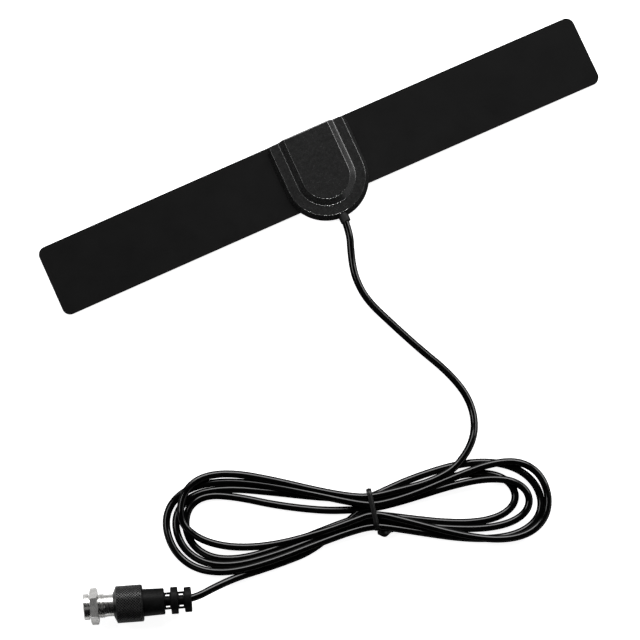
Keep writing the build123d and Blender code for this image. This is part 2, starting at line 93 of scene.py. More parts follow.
# %% [markdown]
# ## The lead
#
# The lead is one length of thin round coax. It leaves the housing, wanders down to the hank,
# makes eight turns there, four in each lobe, and comes out again to the plug. It could be
# a chain of swept solids, but a soft cable has no corners, so its line is one smooth NURBS curve
# with a round bevel. The free stretches are points given one by one. The turns are worked out by a
# loop: each row below is one turn of a lobe, with its own reach and swell, so the turns fan out
# at the ends and come together under the tie.

# %% free stretches of the lead
# drawn slightly fuller than half the diameter
JACKET_RADIUS = 0.00157
PLUG_NOSE = Vector((-0.1674, -0.1327, 0.00775))
PLUG_HEADING = radians(-19.9)
PLUG_AXIS = Vector((cos(PLUG_HEADING), sin(PLUG_HEADING), 0.0))
# from the plug's nose: where the tail comes to the boot, and where it ends inside it
BOOT_MOUTH = 0.0455
TAIL_END = 0.040
HANK_MIDDLE = Vector((-0.0410, -0.1443, 0.0))
HANK_HEADING = radians(-18.3)

lead_points = [
    (0.0, -0.0205, 0.0023),
    (0.0, -0.0310, 0.0023),
    (-0.0039, -0.0410, 0.0016),
    (-0.0064, -0.0505, 0.0015),
    (-0.0058, -0.0615, 0.0015),
    (-0.0008, -0.0740, 0.0015),
    (0.0057, -0.0893, 0.0015),
    (0.0129, -0.1040, 0.0015),
    (0.0162, -0.1170, 0.0015),
    (0.0144, -0.1280, 0.0018),
    (0.0090, -0.1360, 0.0039),
]
tail_points = [
    (-0.0720, -0.1494, 0.0016),
    (-0.0825, -0.1490, 0.0016),
    (-0.0935, -0.1480, 0.0017),
    (-0.1040, -0.1469, 0.0030),
    (-0.1130, -0.1472, 0.0059),
    tuple(PLUG_NOSE + BOOT_MOUTH * PLUG_AXIS),
    tuple(PLUG_NOSE + TAIL_END * PLUG_AXIS),
]
# the same two stretches where they lie on the hank: along it, across it and height
lead_on_hank = [
    (0.0385, 0.0156, 0.0047),
    (0.0330, 0.0120, 0.0049),
    (0.0240, 0.0088, 0.0049),
    (0.0120, 0.0070, 0.0047),
]
tail_on_hank = [
    (-0.0090, -0.0025, 0.0016),
    (-0.0180, -0.0086, 0.0015),
]
by_hand = lead_points + lead_on_hank + tail_on_hank + tail_points
print("points chosen by hand:", len(by_hand))

# %% turns of the hank
# side, reach, sideways shift, swell and power of the far run, of the near run, three heights
turns = [
    (-1, 0.0805, 0.0060, 0.0357, 1.5, 0.0238, 1.0, (0.0036, 0.0046, 0.0015)),
    (1, 0.0748, -0.0020, 0.0379, 1.8, 0.0345, 1.2, (0.0046, 0.0030, 0.0040)),
    (-1, 0.0870, 0.0025, 0.0351, 1.2, 0.0400, 1.5, (0.0022, 0.0015, 0.0043)),
    (1, 0.0718, -0.0030, 0.0270, 1.0, 0.0235, 1.2, (0.0015, 0.0015, 0.0015)),
    (-1, 0.0830, 0.0020, 0.0282, 1.8, 0.0359, 1.5, (0.0015, 0.0017, 0.0028)),
    (1, 0.0668, -0.0020, 0.0205, 1.5, 0.0175, 1.2, (0.0046, 0.0030, 0.0015)),
    (-1, 0.0788, 0.0015, 0.0357, 2.6, 0.0338, 1.5, (0.0015, 0.0015, 0.0015)),
    (1, 0.0612, 0.0005, 0.0195, 1.2, 0.0180, 1.2, (0.0015, 0.0015, 0.0015)),
]
# where each pass goes under the tie: across and height
waist = [
    (0.0053, 0.0046),
    (-0.0016, 0.0046),
    (0.0020, 0.0046),
    (-0.0066, 0.0032),
    (0.0056, 0.0020),
    (-0.0045, 0.0020),
    (0.0010, 0.0020),
    (-0.0017, 0.0020),
    (0.0033, 0.0020),
]
TURN_ANGLES = (96, 105, 120, 135, 150, 165, 180, 195, 210, 225, 240, 255, 264)


def on_hank(along, across, height):
    """A point of the hank's own frame, placed on the floor."""
    turn_cos = cos(HANK_HEADING)
    turn_sin = sin(HANK_HEADING)
    x = HANK_MIDDLE.x + along * turn_cos - across * turn_sin
    y = HANK_MIDDLE.y + along * turn_sin + across * turn_cos
    return (x, y, height)


def eased(stations, angle):
    """Height at an angle, eased between stations of angle and height."""
    for (a, low), (b, high) in zip(stations, stations[1:]):
        if angle <= b:
            share = (angle - a) / (b - a)
            return low + (high - low) * share * share * (3 - 2 * share)
    return stations[-1][1]


def turn_points(turn, first, last):
    """One turn of a lobe, from one pass under the tie to the next."""
    side, reach, shift, far_swell, far_power, near_swell, near_power, (far_z, end_z, near_z) = turn
    (far_t, far_waist), (near_t, near_waist) = (first, last) if side < 0 else (last, first)
    # angle round the lobe, and the height there
    heights = [
        (90, far_waist),
        (100, far_waist),
        (125, far_z),
        (150, (far_z + end_z) / 2),
        (180, end_z),
        (210, (near_z + end_z) / 2),
        (235, near_z),
        (262, near_waist),
        (270, near_waist),
    ]
    points = []
    for angle in TURN_ANGLES:
        out = abs(cos(radians(angle)))
        if angle <= 180:
            width = far_t + far_swell * out**far_power
        else:
            width = near_swell * out**near_power - near_t
        across = sin(radians(angle)) * width + shift * out**2
        points.append(on_hank(side * reach * out, across, eased(heights, angle)))
    return points if side < 0 else points[::-1]


route = list(lead_points)
route += [on_hank(*p) for p in lead_on_hank]
for number, turn in enumerate(turns):
    route.append(on_hank(0.0, *waist[number]))
    route += turn_points(turn, waist[number], waist[number + 1])
route.append(on_hank(0.0, *waist[-1]))
route += [on_hank(*p) for p in tail_on_hank]
route += tail_points
print("points of the whole lead:", len(route))

# %% the lead's curve
STEPS_ALONG = 8
STEPS_ROUND = 12

cable_curve = bpy.data.curves.new("coax_cable", "CURVE")
cable_curve.dimensions = "3D"
spline = cable_curve.splines.new("NURBS")
spline.points.add(len(route) - 1)
for point, place in zip(spline.points, route):
    point.co = (*place, 1.0)
    point.radius = JACKET_RADIUS
spline.order_u = 3
spline.use_endpoint_u = True
spline.use_smooth = True
cable_curve.resolution_u = STEPS_ALONG
cable_curve.bevel_depth = 1.0
cable_curve.bevel_resolution = STEPS_ROUND
cable_curve.use_fill_caps = True
cable = bpy.data.objects.new("coax_cable", cable_curve)
bpy.context.scene.collection.objects.link(cable)
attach(cable, "antenna")
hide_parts("cable_lead", "cable_hank", "cable_tail")
print("lead laid as one curve")

# %% [markdown]
# ## Light, floor and backdrop
#
# The object was photographed in a soft white studio. The background could be made white by
# strong lamps, but that would burn out the metal, so the lamps stay at a plain level and the
# world is white only for rays that come from the camera or from a reflection. The floor is pale
# and diffuse with a little glow for the same rays, so it still shows the object's shadow.
#
# Four softboxes give most of the light. In a studio that is white all round, black plastic would
# look grey, so dark cards stand round the object, and a small grey card lifts the plug's metal.
# Only reflections see the cards. The round end of the housing draws thin light arcs, as from a
# row of studio lamps. Stronger softboxes would wash out the films, so the arcs come from seven
# narrow spots that only reflections see.

# %% backdrop and floor
WHITE = (1.0, 1.0, 1.0, 1.0)
AMBIENT = 0.12
FLOOR_SIZE = 6.0
FLOOR_DROP = 0.0002
FLOOR_ALBEDO = 0.82
FLOOR_GLOW = 0.9
MIRRORED_FLOOR = 0.22


def seen_rays(tree, mirrored):
    """1 for rays from the camera or a see-through surface, that share for reflections, else 0."""
    path = tree.nodes.new("ShaderNodeLightPath")
    share = tree.nodes.new("ShaderNodeMath")
    share.operation = "MULTIPLY"
    share.inputs[1].default_value = mirrored
    tree.links.new(path.outputs["Is Glossy Ray"], share.inputs[0])
    either = tree.nodes.new("ShaderNodeMath")
    either.operation = "MAXIMUM"
    tree.links.new(path.outputs["Is Camera Ray"], either.inputs[0])
    tree.links.new(share.outputs[0], either.inputs[1])
    every = tree.nodes.new("ShaderNodeMath")
    every.operation = "MAXIMUM"
    tree.links.new(either.outputs[0], every.inputs[0])
    tree.links.new(path.outputs["Is Transmission Ray"], every.inputs[1])
    return every.outputs[0]


world = bpy.data.worlds.new("white_studio")
bpy.context.scene.world = world
world.use_nodes = True
sky = world.node_tree
backdrop = sky.nodes["Background"]
backdrop.inputs["Color"].default_value = WHITE
level = sky.nodes.new("ShaderNodeMapRange")
level.inputs["To Min"].default_value = AMBIENT
level.inputs["To Max"].default_value = 1.0
sky.links.new(seen_rays(sky, 1.0), level.inputs["Value"])
sky.links.new(level.outputs["Result"], backdrop.inputs["Strength"])

bpy.ops.object.select_all(action="DESELECT")
bpy.ops.mesh.primitive_plane_add(size=FLOOR_SIZE, location=(0.0, 0.0, -FLOOR_DROP))
floor = bpy.context.object
floor.name = "studio_floor"
floor_paint = bpy.data.materials.new("studio_floor")
floor_paint.use_nodes = True
floor_tree = floor_paint.node_tree
floor_shader = floor_tree.nodes["Principled BSDF"]
floor_shader.inputs["Base Color"].default_value = (FLOOR_ALBEDO, FLOOR_ALBEDO, FLOOR_ALBEDO, 1.0)
floor_shader.inputs["Roughness"].default_value = 0.9
floor_shader.inputs["Specular IOR Level"].default_value = 0.0
floor_shader.inputs["Emission Color"].default_value = WHITE
glow = floor_tree.nodes.new("ShaderNodeMapRange")
glow.inputs["To Max"].default_value = FLOOR_GLOW
floor_tree.links.new(seen_rays(floor_tree, MIRRORED_FLOOR), glow.inputs["Value"])
floor_tree.links.new(glow.outputs["Result"], floor_shader.inputs["Emission Strength"])
floor.data.materials.append(floor_paint)
print("floor and backdrop ready")

# %% softboxes
# name, bearing from the object, height angle, distance, width, depth, power
softboxes = [
    ("far_softbox", 156, 42, 1.3, 1.3, 0.6, 18.5),
    ("left_softbox", -130, 52, 1.3, 0.45, 0.3, 2.7),
    ("right_softbox", 98, 32, 1.3, 0.5, 0.3, 4.0),
    ("right_low_softbox", 99, 5, 1.3, 0.6, 0.25, 1.6),
]
for name, azimuth, elevation, distance, width, depth, power in softboxes:
    place = around(VIEW_TARGET, radians(azimuth), radians(elevation), distance)
    bpy.ops.object.select_all(action="DESELECT")
    bpy.ops.object.light_add(type="AREA", location=place)
    lamp = bpy.context.object
    lamp.name = name
    lamp.data.shape = "RECTANGLE"
    lamp.data.size = width
    lamp.data.size_y = depth
    lamp.data.energy = power
    aim(lamp, VIEW_TARGET)
print("softboxes:", len(softboxes))

# %% spots on the housing
HOUSING_END = Vector((0.0, -0.012, 0.003))
SPOT_BEARINGS = range(-60, 31, 13)
SPOT_ELEVATION = radians(46)
SPOT_DISTANCE = 1.3
SPOT_POWER = 26.0
SPOT_RADIUS = 0.05
SPOT_CONE = radians(3.0)
SPOT_BLEND = 0.5

for bearing in SPOT_BEARINGS:
    place = around(HOUSING_END, radians(bearing), SPOT_ELEVATION, SPOT_DISTANCE)
    bpy.ops.object.select_all(action="DESELECT")
    bpy.ops.object.light_add(type="SPOT", location=place)
    spot = bpy.context.object
    spot.name = "housing_spot"
    spot.data.energy = SPOT_POWER
    spot.visible_diffuse = False
    spot.data.shadow_soft_size = SPOT_RADIUS
    spot.data.spot_size = SPOT_CONE
    spot.data.spot_blend = SPOT_BLEND
    aim(spot, HOUSING_END)
print("spots:", len(SPOT_BEARINGS))

# %% dark cards
METAL_MIDDLE = 0.006
PLUG_METAL = PLUG_NOSE + METAL_MIDDLE * PLUG_AXIS
TABLE_MIDDLE = Vector((0.031, -0.065, -0.5 * FLOOR_DROP))
TABLE_CARD_SIZE = (0.338, 0.37)
GREY_CARD_PLACE = around(PLUG_METAL, radians(-24), radians(72), 0.1)
GREY_CARD_SIZE = (0.04, 0.04)
GREY_CARD_GLOW = 0.3
CARD_BLACK = 0.01

# name, what it is turned to, bearing, height angle, distance, width, depth
cards = [
    ("dark_ceiling", VIEW_TARGET, 156, 89.9, 2.0, 2.4, 2.4),
    ("near_card", VIEW_TARGET, -24, 36, 1.7, 4.4, 2.2),
    ("left_card", VIEW_TARGET, -114, 30, 1.6, 3.2, 1.9),
    ("right_card", VIEW_TARGET, 66, 40, 1.7, 2.6, 1.5),
    ("plug_card", PLUG_METAL, -20, 15, 0.04, 0.07, 0.055),
]
card_paint = bpy.data.materials.new("dark_card")
card_paint.use_nodes = True
card_shader = card_paint.node_tree.nodes["Principled BSDF"]
card_shader.inputs["Base Color"].default_value = (CARD_BLACK, CARD_BLACK, CARD_BLACK, 1.0)
card_shader.inputs["Specular IOR Level"].default_value = 0.0


def dark_card(name, location, width, depth):
    """A black card that only reflections see."""
    bpy.ops.object.select_all(action="DESELECT")
    bpy.ops.mesh.primitive_plane_add(size=1.0, location=location)
    card = bpy.context.object
    card.name = name
    card.scale = (width, depth, 1.0)
    card.data.materials.append(card_paint)
    card.visible_camera = False
    card.visible_diffuse = False
    card.visible_shadow = False
    return card


dark_card("table_card", TABLE_MIDDLE, *TABLE_CARD_SIZE)
grey_card = dark_card("grey_card", GREY_CARD_PLACE, *GREY_CARD_SIZE)
aim(grey_card, PLUG_METAL)
grey_paint = card_paint.copy()
grey_paint.name = "grey_card"
grey_shader = grey_paint.node_tree.nodes["Principled BSDF"]
grey_shader.inputs["Emission Color"].default_value = WHITE
grey_shader.inputs["Emission Strength"].default_value = GREY_CARD_GLOW
grey_card.data.materials[0] = grey_paint
for name, target, azimuth, elevation, distance, width, depth in cards:
    place = around(target, radians(azimuth), radians(elevation), distance)
    card = dark_card(name, place, width, depth)
    aim(card, target)
print("cards:", len(cards) + 2)

# %% [markdown]
# ## Helpers for modelling
#
# Every new piece but the lead starts as a primitive and is shaped in edit mode. Each step could
# be written out for each piece, but a hand does the same things every time, so small helpers do
# them: clear the selection before adding, pick parts of the mesh by their place, put the
# finished piece where it belongs with its place stored in the mesh, apply a modifier, and turn
# an outline on a lathe.

# %% modelling helpers
# settings of every bevel that only breaks sharp edges
SHARP_EDGES = {"segments": 2, "limit_method": "ANGLE"}
# vertices closer than this in metres are one, and places closer than this in mm are the same
WELD = 1e-6
NEAR = 0.05


def fresh():
    """Leaves nothing selected, in object mode, before a primitive is added."""
    if bpy.context.object and bpy.context.object.mode != "OBJECT":
        bpy.ops.object.mode_set(mode="OBJECT")
    bpy.ops.object.select_all(action="DESELECT")


def pick(obj, mode, test):
    """Selects the vertices, edges or faces that pass the test by their place, in edit mode."""
    bpy.ops.object.mode_set(mode="EDIT")
    bpy.ops.mesh.select_mode(type=mode)
    bpy.ops.mesh.select_all(action="DESELECT")
    bpy.ops.object.mode_set(mode="OBJECT")
    mesh = obj.data
    if mode == "VERT":
        for vertex in mesh.vertices:
            vertex.select = test(vertex.co)
    elif mode == "EDGE":
        for edge in mesh.edges:
            ends = [mesh.vertices[i].co for i in edge.vertices]
            edge.select = test(*ends)
    else:
        for face in mesh.polygons:
            face.select = test(face.center, face.normal)
    bpy.ops.object.mode_set(mode="EDIT")


def seat(obj, location, rotation):
    """Puts a piece in its place and stores the place in its mesh."""
    if obj.mode != "OBJECT":
        bpy.ops.object.mode_set(mode="OBJECT")
    bpy.ops.object.select_all(action="DESELECT")
    obj.select_set(True)
    bpy.context.view_layer.objects.active = obj
    obj.location = location
    obj.rotation_euler = rotation
    bpy.ops.object.transform_apply(location=True, rotation=True, scale=True)


def finish_with(obj, kind, **settings):
    """Adds a modifier with its settings and applies it."""
    if obj.mode != "OBJECT":
        bpy.ops.object.mode_set(mode="OBJECT")
    modifier = obj.modifiers.new(kind.lower(), kind)
    for key, value in settings.items():
        setattr(modifier, key, value)
    bpy.context.view_layer.objects.active = obj
    bpy.ops.object.modifier_apply(modifier=modifier.name)


def turned(name, outline, steps):
    """A piece turned on a lathe: its outline (radius, along) in mm, spun about the upright axis."""
    fresh()
    bpy.ops.mesh.primitive_plane_add(size=MM)
    obj = bpy.context.object
    obj.name = name
    bpy.ops.object.mode_set(mode="EDIT")
    bpy.ops.mesh.merge(type="CENTER")
    corners = [Vector((radius * MM, 0.0, along * MM)) for radius, along in outline]
    bpy.ops.transform.translate(value=corners[0])
    for start, end in zip(corners, corners[1:] + corners[:1]):
        bpy.ops.mesh.extrude_region_move(TRANSFORM_OT_translate={"value": end - start})
    bpy.ops.mesh.select_all(action="SELECT")
    bpy.ops.mesh.spin(steps=steps, angle=2 * pi, center=(0.0, 0.0, 0.0), axis=(0.0, 0.0, 1.0))
    bpy.ops.mesh.select_all(action="SELECT")
    bpy.ops.mesh.remove_doubles(threshold=WELD)
    bpy.ops.mesh.normals_make_consistent(inside=False)
    bpy.ops.object.mode_set(mode="OBJECT")
    return obj


PLUG_TURN = (0.0, pi / 2, PLUG_HEADING)
print("helpers ready")

# %% [markdown]
# ## The plug's barrel
#
# Behind the coupling nut the plug shows a short nickel-plated barrel with a fine outside thread.
# The thread could be a bump in the finish, but it is seen from the side as a saw-tooth edge, so
# it is turned as real ridges: an outline with one tooth for each turn of the thread, spun about
# the plug's axis.

# %% threaded barrel
BARREL_START = 6.3
THREAD_END = 9.3
BARREL_END = 20.0
THREAD_CREST = 5.05
THREAD_ROOT = 4.72
SHANK_RADIUS = 4.6
BARREL_BORE = 3.2
THREAD_PITCH = 0.7
LEAD_IN = 0.25
CREST_SHARES = (0.4, 0.6)
BARREL_STEPS = 72

barrel_outline = [(BARREL_BORE, BARREL_START), (THREAD_ROOT, BARREL_START)]
ridge = BARREL_START + LEAD_IN
while ridge + THREAD_PITCH <= THREAD_END:
    barrel_outline += [
        (THREAD_ROOT, ridge),
        (THREAD_CREST, ridge + CREST_SHARES[0] * THREAD_PITCH),
        (THREAD_CREST, ridge + CREST_SHARES[1] * THREAD_PITCH),
    ]
    ridge += THREAD_PITCH
barrel_outline += [
    (THREAD_ROOT, ridge),
    (THREAD_ROOT, THREAD_END),
    (SHANK_RADIUS, THREAD_END + LEAD_IN),
    (SHANK_RADIUS, BARREL_END),
    (BARREL_BORE, BARREL_END),
]
barrel = turned("threaded_barrel", barrel_outline, BARREL_STEPS)
seat(barrel, PLUG_NOSE, PLUG_TURN)
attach(barrel, "antenna")
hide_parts("plug_barrel")
print("barrel faces:", len(barrel.data.polygons))

# %% [markdown]
# ## The thread inside the coupling nut
#
# The nut screws on to a socket, so its bore has a thread. It only shows when one looks into the
# mouth of the plug. It could be a bump in the nut's finish, but the bore's edge would stay
# smooth. So it is a sleeve of fine ridges, turned like the barrel, that lies in the bore and
# turns with the nut.

# %% nut thread
NUT_BORE = 4.4
NUT_THREAD_CREST = 4.12
NUT_THREAD_START = 0.6
NUT_THREAD_TURNS = 4
NUT_THREAD_PITCH = 0.8
NUT_ROOT_RISE = 0.03
NUT_ROOT_STEP = 0.05
NUT_CREST_SHARES = (0.45, 0.6)
NUT_STEPS = 60

nut_outline = [(NUT_BORE, NUT_THREAD_START)]
for number in range(NUT_THREAD_TURNS):
    foot = NUT_THREAD_START + number * NUT_THREAD_PITCH
    nut_outline += [
        (NUT_BORE - NUT_ROOT_RISE, foot + NUT_ROOT_STEP),
        (NUT_THREAD_CREST, foot + NUT_CREST_SHARES[0] * NUT_THREAD_PITCH),
        (NUT_THREAD_CREST, foot + NUT_CREST_SHARES[1] * NUT_THREAD_PITCH),
    ]
nut_outline += [(NUT_BORE, NUT_THREAD_START + NUT_THREAD_TURNS * NUT_THREAD_PITCH)]
nut_thread = turned("nut_inner_thread", nut_outline, NUT_STEPS)
seat(nut_thread, PLUG_NOSE, PLUG_TURN)
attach(nut_thread, "coupling_nut")
print("nut thread faces:", len(nut_thread.data.polygons))

# %% [markdown]
# ## The knurled grip
#
# The black ring that is held when the plug is pushed home has a diamond knurl. A bump pattern
# would look flat at the edges, so the diamonds are modelled: a tube is cut into square facets,
# each facet is poked to give its diagonals, the square edges are dissolved so that only the
# diagonals stay, and each diamond is inset and its middle pushed in as a small pit. The flat lands
# between the pits are painted paler than the pits, a painted highlight that shows as a fine light net.

# %% knurled band
GRIP_START = 12.5
GRIP_END = 24.8
GRIP_RADIUS = 7.75
GRIP_NOSE_RADIUS = 4.95
GRIP_NOSE_LENGTH = 1.3
GRIP_REAR_CHAMFER = 0.5
GRIP_BORE = 4.6
KNURL_COUNT = 40
KNURL_ROWS = 9
KNURL_DEPTH = 0.34
LAND_WIDTH = 0.16
LAND_REACH = 0.3

band_start = GRIP_START + GRIP_NOSE_LENGTH
band_end = GRIP_END - GRIP_REAR_CHAMFER
row_length = (band_end - band_start) / KNURL_ROWS

fresh()
bpy.ops.mesh.primitive_cylinder_add(
    vertices=KNURL_COUNT,
    radius=GRIP_RADIUS * MM,
    depth=(band_end - band_start) * MM,
    end_fill_type="NOTHING",
    location=(0.0, 0.0, (band_start + band_end) / 2 * MM),
)
grip = bpy.context.object
grip.name = "knurled_grip"
bpy.ops.object.transform_apply(location=True, rotation=True, scale=True)
bpy.ops.object.mode_set(mode="EDIT")
for row in range(1, KNURL_ROWS):
    cut = (band_start + row * row_length) * MM
    bpy.ops.mesh.select_all(action="SELECT")
    bpy.ops.mesh.bisect(plane_co=(0.0, 0.0, cut), plane_no=(0.0, 0.0, 1.0))
bpy.ops.mesh.select_all(action="SELECT")
bpy.ops.mesh.poke(offset=0.0)


def inner_square_edge(a, b):
    """An edge of the square facets that isn't on the band's two rims."""
    upright = (a - b).xy.length < NEAR * MM
    level = abs(a.z - b.z) < NEAR * MM
    height = (a.z + b.z) / 2 / MM
    on_rim = level and (abs(height - band_start) < NEAR or abs(height - band_end) < NEAR)
    return (upright or level) and not on_rim


pick(grip, "EDGE", inner_square_edge)
bpy.ops.mesh.dissolve_edges(use_verts=False)
bpy.ops.mesh.select_mode(type="FACE")
bpy.ops.mesh.select_all(action="SELECT")
bpy.ops.mesh.inset(thickness=LAND_WIDTH / 2 * MM, use_individual=True)
bpy.ops.mesh.poke(offset=-KNURL_DEPTH * MM)
print("knurled facets:", len(grip.data.polygons))

# %% nose, rear face and bore of the grip
def draw_in(obj, height, steps):
    """Extrudes the open rim at that height through (new radius, move along) steps."""
    pick(obj, "EDGE", lambda a, b: abs(a.z / MM - height) < NEAR and abs(b.z / MM - height) < NEAR)
    radius = GRIP_RADIUS
    for new_radius, move in steps:
        share = new_radius / radius
        bpy.ops.mesh.extrude_region_move(TRANSFORM_OT_translate={"value": (0.0, 0.0, move * MM)})
        bpy.ops.transform.resize(value=(share, share, 1.0), center_override=(0.0, 0.0, 0.0))
        radius = new_radius
    bpy.ops.object.mode_set(mode="OBJECT")


draw_in(grip, band_start, [(GRIP_NOSE_RADIUS, -GRIP_NOSE_LENGTH), (GRIP_BORE, 0.0)])
draw_in(grip, band_end, [(GRIP_RADIUS - GRIP_REAR_CHAMFER, GRIP_REAR_CHAMFER), (GRIP_BORE, 0.0)])


def on_bore_rim(p):
    """A vertex on one of the two open rims of the bore."""
    off_the_end = min(abs(p.z / MM - GRIP_START), abs(p.z / MM - GRIP_END))
    return abs(p.xy.length / MM - GRIP_BORE) < NEAR and off_the_end < NEAR


pick(grip, "EDGE", lambda a, b: on_bore_rim(a) and on_bore_rim(b))
bpy.ops.mesh.bridge_edge_loops()
bpy.ops.mesh.select_all(action="SELECT")
bpy.ops.mesh.remove_doubles(threshold=WELD)
bpy.ops.mesh.normals_make_consistent(inside=False)
bpy.ops.object.mode_set(mode="OBJECT")
# the lands take the second slot, a paler finish that is a painted highlight on the knurl
for face in grip.data.polygons:
    along_band = band_start < face.center.z / MM < band_end
    near_surface = face.center.xy.length / MM > GRIP_RADIUS - LAND_REACH
    is_land = along_band and near_surface and len(face.vertices) == 4
    face.material_index = 1 if is_land else 0
seat(grip, PLUG_NOSE, PLUG_TURN)
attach(grip, "antenna")
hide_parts("grip_ring")
print("grip faces:", len(grip.data.polygons))

# %% [markdown]
# ## The tie
#
# A black twist tie holds the hank at its waist: a flat plastic ribbon with a wire core, slung
# round the strands at a slant and twisted into a small knot at the near side. The ribbon could be
# a torus, but that has a round section. Here it is a box with two sides taken away, its four long
# edges rounded by a bevel, a middle strip raised for the wire, and a Solidify for its thickness.

# %% ribbon of the tie
TIE_WIDTH = 2.1
TIE_NEAR = -8.5
TIE_FAR = 9.0
TIE_LOW = 0.25
TIE_TOP = 6.4
TIE_CORNER = 2.7
TIE_CORNER_STEPS = 9
TIE_THICKNESS = 0.42
CORE_WIDTH = 0.7
CORE_RISE = 0.22
CORE_SLOPE = 0.12
CORE_LOWEST = 0.5
TIE_EDGE = 0.1
TIE_SLANT = radians(6.5)
TIE_ALONG = 0.6

fresh()
bpy.ops.mesh.primitive_cube_add(
    size=1.0,
    location=(0.0, (TIE_NEAR + TIE_FAR) / 2 * MM, (TIE_LOW + TIE_TOP) / 2 * MM),
    scale=(TIE_WIDTH * MM, (TIE_FAR - TIE_NEAR) * MM, (TIE_TOP - TIE_LOW) * MM),
)
tie = bpy.context.object
tie.name = "tie_ribbon"
bpy.ops.object.transform_apply(location=True, rotation=True, scale=True)
pick(tie, "FACE", lambda centre, normal: abs(normal.x) > 0.9)
bpy.ops.mesh.delete(type="ONLY_FACE")
pick(tie, "EDGE", lambda a, b: abs(a.x - b.x) > 0.5 * TIE_WIDTH * MM)
bpy.ops.mesh.bevel(offset=TIE_CORNER * MM, segments=TIE_CORNER_STEPS, affect="EDGES")
for side in (-0.5, 0.5):
    bpy.ops.mesh.select_all(action="SELECT")
    bpy.ops.mesh.bisect(plane_co=(side * CORE_WIDTH * MM, 0.0, 0.0), plane_no=(1.0, 0.0, 0.0))
bpy.ops.mesh.select_all(action="SELECT")
bpy.ops.mesh.normals_make_consistent(inside=False)
bpy.ops.object.mode_set(mode="OBJECT")
print("ribbon faces:", len(tie.data.polygons))

# %% wire core, thickness and place of the ribbon
def core_face(centre, normal):
    """A face of the middle strip, except on the floor side."""
    return abs(centre.x) < 0.5 * CORE_WIDTH * MM and centre.z > CORE_LOWEST * MM


pick(tie, "FACE", core_face)
bpy.ops.mesh.inset(thickness=CORE_SLOPE * MM, use_boundary=False)
bpy.ops.transform.shrink_fatten(value=CORE_RISE * MM)
finish_with(tie, "SOLIDIFY", thickness=TIE_THICKNESS * MM, offset=0.0)
finish_with(tie, "BEVEL", width=TIE_EDGE * MM, angle_limit=radians(40), **SHARP_EDGES)
seat(tie, (TIE_ALONG * MM, 0.0, 0.0), (0.0, 0.0, TIE_SLANT))
seat(tie, HANK_MIDDLE, (0.0, 0.0, HANK_HEADING))
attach(tie, "antenna")
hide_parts("cable_tie")
print("ribbon with core:", len(tie.data.polygons))

# %% twisted knot of the tie
KNOT_LENGTH = 6.6
KNOT_RINGS = 16
KNOT_LONG = 2.3
KNOT_SHORT = 1.3
KNOT_SIDES = 20
KNOT_FLATNESS = 0.78
KNOT_END_SHARE = 0.62
KNOT_EDGE = 0.25
KNOT_TWIST = radians(200)
KNOT_HEADING = radians(4)
KNOT_MIDDLE = (4.8, -9.4, 2.2)

fresh()
bpy.ops.mesh.primitive_cylinder_add(vertices=KNOT_SIDES, radius=KNOT_SHORT * MM, depth=KNOT_LENGTH * MM)
knot = bpy.context.object
knot.name = "tie_knot"
bpy.ops.object.mode_set(mode="EDIT")
for ring in range(1, KNOT_RINGS):
    height = KNOT_LENGTH * (ring / KNOT_RINGS - 0.5)
    bpy.ops.mesh.select_all(action="SELECT")
    bpy.ops.mesh.bisect(plane_co=(0.0, 0.0, height * MM), plane_no=(0.0, 0.0, 1.0))
bpy.ops.mesh.select_all(action="SELECT")
section = (KNOT_LONG / KNOT_SHORT, KNOT_FLATNESS, 1.0)
bpy.ops.transform.resize(value=section, center_override=(0.0, 0.0, 0.0))
for ring in range(KNOT_RINGS + 1):
    height = KNOT_LENGTH * (ring / KNOT_RINGS - 0.5)
    pick(knot, "VERT", lambda co: abs(co.z - height * MM) < NEAR * MM)
    swell = KNOT_END_SHARE + (1 - KNOT_END_SHARE) * sin(pi * (ring + 1) / (KNOT_RINGS + 2))
    bpy.ops.transform.rotate(
        value=KNOT_TWIST * ring / KNOT_RINGS, orient_axis="Z", center_override=(0.0, 0.0, height * MM)
    )
    bpy.ops.transform.resize(value=(swell, swell, 1.0), center_override=(0.0, 0.0, height * MM))
finish_with(knot, "BEVEL", width=KNOT_EDGE * MM, angle_limit=radians(60), **SHARP_EDGES)
finish_with(knot, "SUBSURF", levels=1, render_levels=1)
seat(knot, (0.0, 0.0, 0.0), (0.0, pi / 2, 0.0))
seat(knot, Vector(KNOT_MIDDLE) * MM, (0.0, 0.0, KNOT_HEADING))
seat(knot, HANK_MIDDLE, (0.0, 0.0, HANK_HEADING))
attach(knot, "antenna")
print("knot faces:", len(knot.data.polygons))

# %% smooth shading of the turned and twisted pieces
smooth_below = [(barrel, 30), (nut_thread, 30), (grip, 20), (tie, 50), (knot, 60)]
for piece, angle in smooth_below:
    fresh()
    piece.select_set(True)
    bpy.context.view_layer.objects.active = piece
    bpy.ops.object.shade_smooth_by_angle(angle=radians(angle))
print("shading set")

# %% [markdown]
# ## Helpers for finishes
#
# A finish is a Principled shader whose colour, roughness and relief vary a little over the
# surface, as on real plastic and metal. Painted pictures could do that too, but they would need
# unwrapped surfaces. The patterns here read Object coordinates, which are metres of the real
# object, so a scale of 2000 means details of about half a millimetre.

# %% finish helpers
# the middle part of a pattern's range, which is spread over the whole change
PATTERN_LOW = 0.3
PATTERN_HIGH = 0.7


def new_finish(name, **constants):
    """A material with a Principled shader and its constant values set on its own sockets."""
    material = bpy.data.materials.new(name)
    material.use_nodes = True
    shader = material.node_tree.nodes["Principled BSDF"]
    for key, value in constants.items():
        shader.inputs[key.replace("_", " ").title().replace("Ior", "IOR")].default_value = value
    return material


